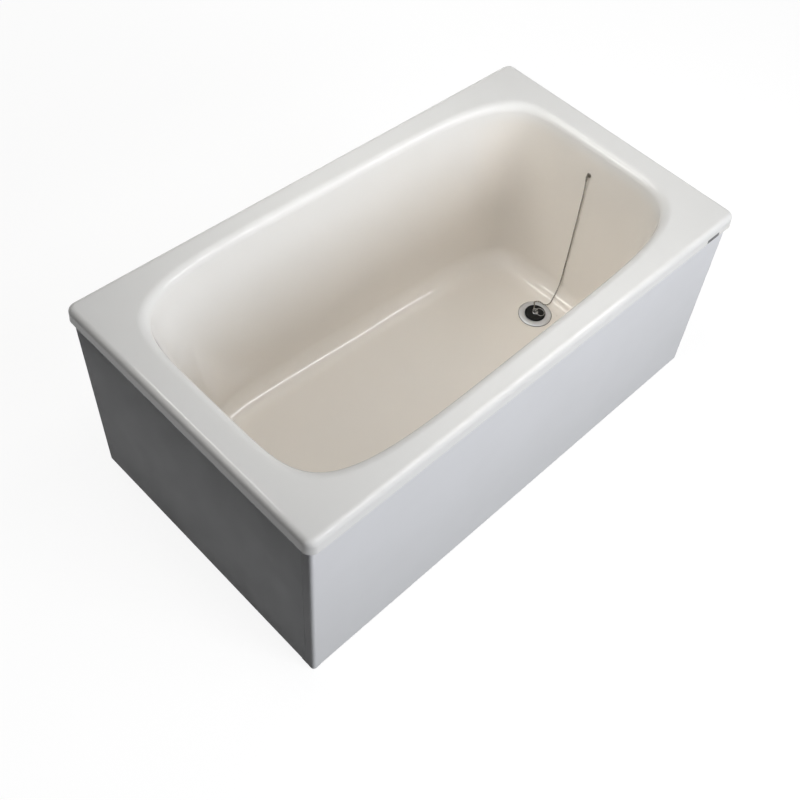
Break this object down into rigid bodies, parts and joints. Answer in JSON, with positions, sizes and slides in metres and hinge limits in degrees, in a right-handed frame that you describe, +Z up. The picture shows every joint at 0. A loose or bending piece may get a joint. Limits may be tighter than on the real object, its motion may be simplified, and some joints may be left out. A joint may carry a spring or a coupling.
{
  "type": "soaking tub",
  "caption": "Deep rectangular soaking tub with a broad flat rim, two side panels, and a drain closed by a rubber plug on a ball chain.",
  "frame": {"origin": "centre of the rim outline at floor level, under the middle of the tub", "axes": "+X along the tub to the drain end, -Y to the long panelled side, +Z up"},
  "size_m": [1.311, 0.743, 0.55],
  "materials": {
    "gelcoat": "glossy moulded gelcoat, warm white inside the basin and neutral on the rim",
    "panel_coat": "smooth white coated panel, semi-gloss",
    "plywood": "unfinished plywood with ply lines on its edges",
    "foot_plastic": "fine-grained dark moulding",
    "pad_rubber": "matt rubber",
    "zinc_sheet": "zinc-coated sheet with a faint spangle",
    "screw_steel": "zinc-plated screws",
    "plate_grey": "plain grey satin plate, no marking",
    "drain_steel": "polished, with fine ring marks",
    "seal_rubber": "matt rubber",
    "washer_plastic": "natural plastic slip washer",
    "nut_brass": "as-machined brass",
    "plug_black": "smooth black rubber with a soft sheen",
    "bright_metal": "bright plated wire",
    "chain_metal": "plated hollow balls, slightly dulled",
    "anchor_metal": "dulled plated metal"
  },
  "bodies": {
    "root": {"tub_shell": "gelcoat", "rim_board_front": "plywood", "rim_board_back": "plywood", "rim_board_head": "plywood", "rim_board_foot": "plywood", "base_board": "plywood", "foot_1": "foot_plastic", "foot_2": "foot_plastic", "foot_3": "foot_plastic", "foot_4": "foot_plastic", "foot_pad_1": "pad_rubber", "foot_pad_2": "pad_rubber", "foot_pad_3": "pad_rubber", "foot_pad_4": "pad_rubber", "front_panel": "panel_coat", "end_panel": "panel_coat", "corner_plate": "zinc_sheet", "front_rail": "zinc_sheet", "end_rail": "zinc_sheet", "rail_screws": "screw_steel", "front_strap_1": "zinc_sheet", "front_strap_2": "zinc_sheet", "front_strap_3": "zinc_sheet", "end_strap_1": "zinc_sheet", "end_strap_2": "zinc_sheet", "strap_screws": "screw_steel", "panel_screws": "screw_steel", "blank_plate": "plate_grey", "drain_flange": "drain_steel", "drain_gasket": "seal_rubber", "under_gasket": "seal_rubber", "slip_washer": "washer_plastic", "lock_nut": "nut_brass", "strainer": "drain_steel", "ball_chain": "chain_metal", "anchor_link": "bright_metal", "wall_anchor": "anchor_metal", "anchor_seal": "seal_rubber", "anchor_nut": "anchor_metal"},
    "plug": {"plug_rubber": "plug_black", "plug_eye": "bright_metal", "plug_nut": "bright_metal", "plug_link": "bright_metal"},
    "pull_ring": {"pull_ring": "bright_metal"}
  },
  "joints": [
    {"name": "plug_lift", "type": "slide", "parent": "root", "child": "plug", "axis": [0, 0, 1], "range_m": [0, 0.06], "deforming": ["ball_chain"]},
    {"name": "ring_swing", "type": "hinge", "parent": "plug", "child": "pull_ring", "pos_m": [0.432, -0.02, 0.06437], "axis": [-0.8192, -0.5736, 0], "range_deg": [0, 100]}
  ]
}
